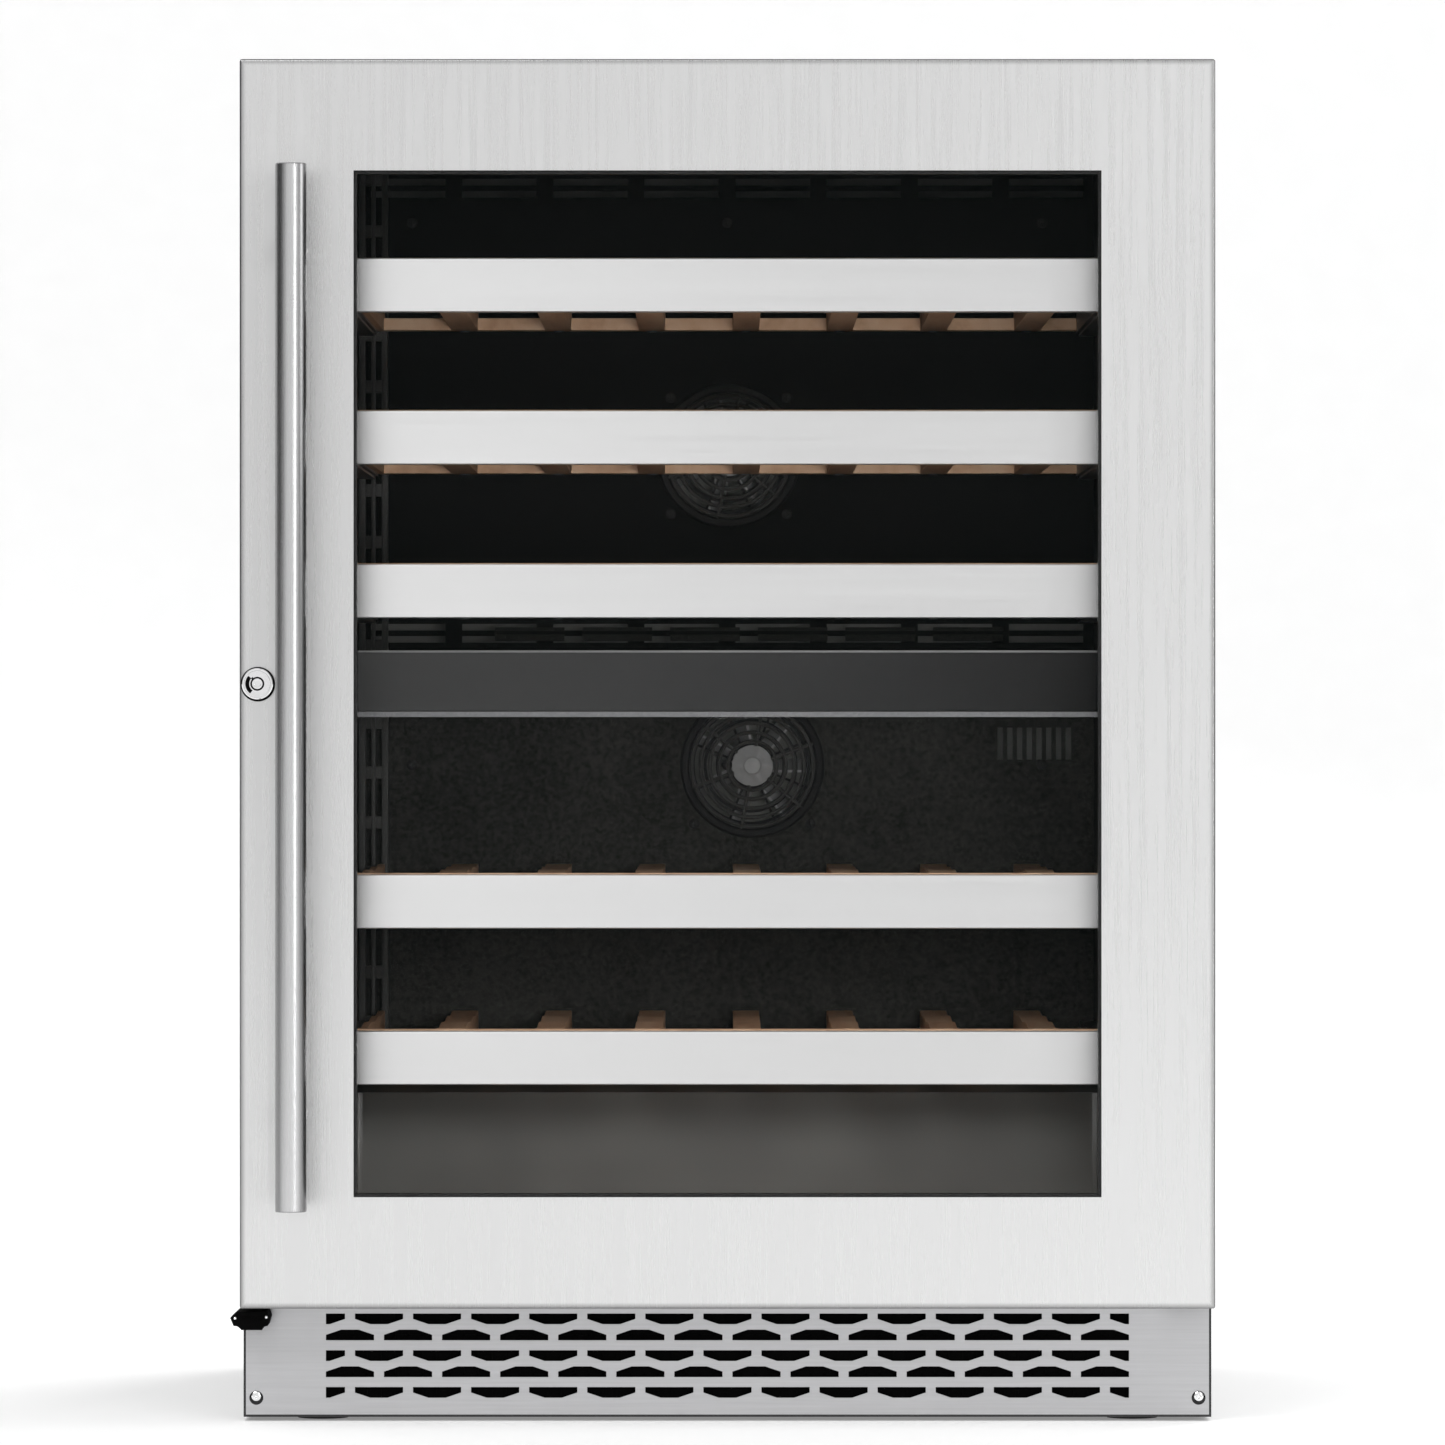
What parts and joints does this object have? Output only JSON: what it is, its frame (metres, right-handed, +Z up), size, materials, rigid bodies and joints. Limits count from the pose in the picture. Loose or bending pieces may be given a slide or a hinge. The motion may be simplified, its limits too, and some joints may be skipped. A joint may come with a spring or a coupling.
{
  "type": "wine cooler",
  "caption": "Under-counter dual-zone wine cooler with a framed glass door, bar handle, lock, sliding wood-slat shelves and a slotted kick plate.",
  "frame": {"origin": "on the floor, under the middle of the overall box", "axes": "+Z up, -Y out of the door towards the user, +X to the user's right"},
  "size_m": [0.602, 0.632, 0.834],
  "materials": {
    "brushed_steel": "vertical brushed grain",
    "satin_steel": "smooth satin",
    "kick_steel": "horizontal brushed grain",
    "black_steel": "fine powder coat",
    "zinc_steel": "zinc plated",
    "foam": "rigid foam",
    "dark_plastic": "fine texture",
    "grey_plastic": "fine texture",
    "panel_gloss": "satin black",
    "light_diffuser": "frosted",
    "beech": "oiled beech",
    "gasket": "soft vinyl",
    "clear_glass": "clear",
    "spacer": "black",
    "chrome": "polished",
    "copper": "copper tube",
    "aluminium_fins": "mill finish",
    "rubber": "matt",
    "nylon": "natural",
    "silver_plastic": "silver"
  },
  "bodies": {
    "cabinet": {"cabinet_wrapper": "black_steel", "front_flange": "black_steel", "lock_strike": "black_steel", "back_panel": "zinc_steel", "base_pan": "black_steel", "insulation_foam": "foam", "liner_shell": "grey_plastic", "liner_side_walls": "grey_plastic", "zone_divider": "dark_plastic", "control_panel": "panel_gloss", "light_bars": "light_diffuser", "evaporator_cover_upper": "grey_plastic", "evaporator_cover_lower": "grey_plastic", "fan_housings": "dark_plastic", "evaporator_coils": "aluminium_fins", "shelf_runners": "zinc_steel", "floor_rack": "beech", "compressor": "black_steel", "condenser": "aluminium_fins", "condenser_fan_housing": "dark_plastic", "drain_tray": "dark_plastic", "power_board_box": "dark_plastic", "refrigerant_tubes": "copper", "power_inlet": "dark_plastic", "kick_plate": "kick_steel", "kick_plate_screws": "chrome", "rear_feet": "rubber", "hinge_bracket_upper": "black_steel", "hinge_bracket_lower": "black_steel", "stop_bracket_left": "dark_plastic"},
    "door": {"door_frame": "brushed_steel", "door_inner_frame": "dark_plastic", "door_gasket": "gasket", "glass_outer": "clear_glass", "glass_inner": "clear_glass", "glass_spacer": "spacer", "handle_bar": "brushed_steel", "handle_posts": "brushed_steel", "hinge_bushings": "nylon", "lock_cylinder": "chrome"},
    "lock_plug": {"lock_plug": "chrome"},
    "upper_fan": {"fan_rotor_upper": "silver_plastic"},
    "lower_fan": {"fan_rotor_lower": "silver_plastic"},
    "condenser_fan": {"condenser_fan_rotor": "dark_plastic"},
    "foot_left": {"front_foot_left": "rubber"},
    "foot_right": {"front_foot_right": "rubber"},
    "shelf_1": {"shelf_1_front": "satin_steel", "shelf_1_rack": "beech", "shelf_1_rails": "zinc_steel"},
    "shelf_2": {"shelf_2_front": "satin_steel", "shelf_2_rack": "beech", "shelf_2_rails": "zinc_steel"},
    "shelf_3": {"shelf_3_front": "satin_steel", "shelf_3_rack": "beech", "shelf_3_rails": "zinc_steel"},
    "shelf_4": {"shelf_4_front": "satin_steel", "shelf_4_rack": "beech", "shelf_4_rails": "zinc_steel"},
    "shelf_5": {"shelf_5_front": "satin_steel", "shelf_5_rack": "beech", "shelf_5_rails": "zinc_steel"}
  },
  "joints": [
    {"name": "door_hinge", "type": "hinge", "parent": "cabinet", "child": "door", "pos_m": [0.2875, -0.235, 0.453], "axis": [0, 0, 1], "range_deg": [0, 115], "stiffness_Nm_per_rad": 1.5, "springref_deg": -17.19},
    {"name": "lock_turn", "type": "hinge", "parent": "door", "child": "lock_plug", "pos_m": [-0.2865, -0.24, 0.453], "axis": [0, 1, 0], "range_deg": [0, 90]},
    {"name": "upper_fan_spin", "type": "hinge", "parent": "cabinet", "child": "upper_fan", "pos_m": [0, 0.235, 0.605], "axis": [0, 1, 0], "continuous": true},
    {"name": "lower_fan_spin", "type": "hinge", "parent": "cabinet", "child": "lower_fan", "pos_m": [0.0155, 0.235, 0.401], "axis": [0, 1, 0], "continuous": true},
    {"name": "condenser_fan_spin", "type": "hinge", "parent": "cabinet", "child": "condenser_fan", "pos_m": [-0.065, 0.095, 0.0732], "axis": [0, 1, 0], "continuous": true},
    {"name": "foot_left_level", "type": "slide", "parent": "cabinet", "child": "foot_left", "axis": [0, 0, -1], "range_m": [0, 0.025]},
    {"name": "foot_right_level", "type": "slide", "parent": "cabinet", "child": "foot_right", "axis": [0, 0, -1], "range_m": [0, 0.025]},
    {"name": "shelf_1_slide", "type": "slide", "parent": "cabinet", "child": "shelf_1", "axis": [0, -1, 0], "range_m": [0, 0.3]},
    {"name": "shelf_2_slide", "type": "slide", "parent": "cabinet", "child": "shelf_2", "axis": [0, -1, 0], "range_m": [0, 0.3]},
    {"name": "shelf_3_slide", "type": "slide", "parent": "cabinet", "child": "shelf_3", "axis": [0, -1, 0], "range_m": [0, 0.3]},
    {"name": "shelf_4_slide", "type": "slide", "parent": "cabinet", "child": "shelf_4", "axis": [0, -1, 0], "range_m": [0, 0.3]},
    {"name": "shelf_5_slide", "type": "slide", "parent": "cabinet", "child": "shelf_5", "axis": [0, -1, 0], "range_m": [0, 0.3]}
  ],
  "couplings": [
    {"joint": "shelf_1_slide", "follows": "door_hinge", "m_per_rad": 0.065},
    {"joint": "shelf_2_slide", "follows": "door_hinge", "m_per_rad": 0.065},
    {"joint": "shelf_3_slide", "follows": "door_hinge", "m_per_rad": 0.065},
    {"joint": "shelf_4_slide", "follows": "door_hinge", "m_per_rad": 0.065},
    {"joint": "shelf_5_slide", "follows": "door_hinge", "m_per_rad": 0.065}
  ]
}
